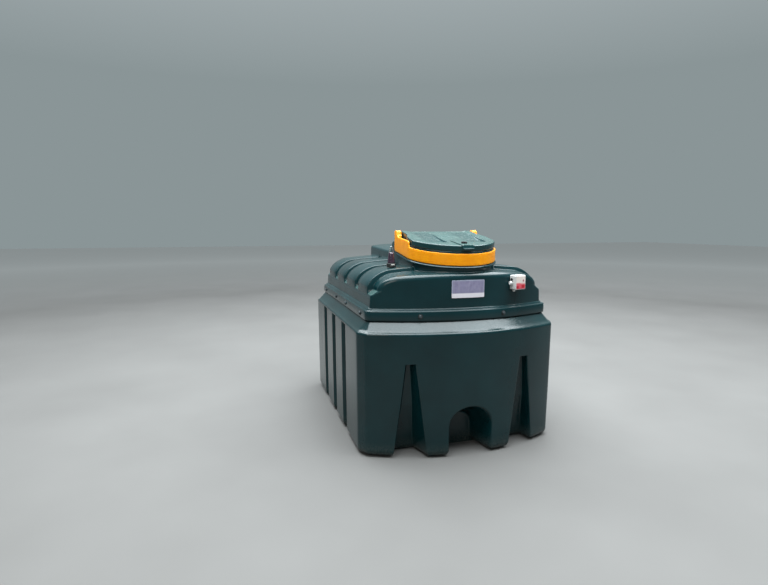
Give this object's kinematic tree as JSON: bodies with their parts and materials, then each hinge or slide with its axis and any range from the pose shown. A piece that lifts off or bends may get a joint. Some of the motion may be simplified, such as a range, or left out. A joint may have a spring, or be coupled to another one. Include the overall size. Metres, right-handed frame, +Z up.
{
  "type": "bunded waste oil tank",
  "caption": "Moulded plastic waste oil tank in a fluted bund, with a hooped roof, a hinged round fill lid on a collar, a level gauge and an overfill alarm.",
  "frame": {"origin": "on the ground under the middle of the bund", "axes": "+Z up, -Y towards the fill end with the sign and alarm, +X to the right of it"},
  "size_m": [1.22, 1.74, 1.249],
  "materials": {
    "green_plastic": "glossy moulded",
    "yellow_plastic": "satin",
    "black_plastic": "matte",
    "smoked_plastic": "glossy",
    "red_plastic": "satin",
    "zinc_steel": "zinc plated",
    "printed_plate": "satin",
    "white_plastic": "satin"
  },
  "bodies": {
    "tank": {"bund_shell": "green_plastic", "inner_tank_body": "green_plastic", "inner_tank_roof": "green_plastic", "hinge_collar": "yellow_plastic", "hinge_pin_left": "black_plastic", "hinge_pin_right": "black_plastic", "gauge_base": "black_plastic", "gauge_dome": "smoked_plastic", "gauge_float": "red_plastic", "gauge_loop": "zinc_steel", "sign_plate": "printed_plate", "alarm_housing": "white_plastic", "alarm_cover": "white_plastic", "alarm_test_knob": "black_plastic", "alarm_side_gland": "white_plastic", "alarm_bottom_gland": "white_plastic", "front_bolt_1": "zinc_steel", "front_bolt_2": "zinc_steel", "rear_bolt_1": "zinc_steel", "rear_bolt_2": "zinc_steel", "left_bolt_1": "zinc_steel", "left_bolt_2": "zinc_steel", "left_bolt_3": "zinc_steel", "left_bolt_4": "zinc_steel", "right_bolt_1": "zinc_steel", "right_bolt_2": "zinc_steel", "right_bolt_3": "zinc_steel", "right_bolt_4": "zinc_steel"},
    "lid": {"lid": "green_plastic", "lid_latch": "green_plastic"}
  },
  "joints": [
    {"name": "lid_hinge", "type": "hinge", "parent": "tank", "child": "lid", "pos_m": [0, -0.3, 1.222], "axis": [-1, 0, 0], "range_deg": [0, 100]}
  ]
}
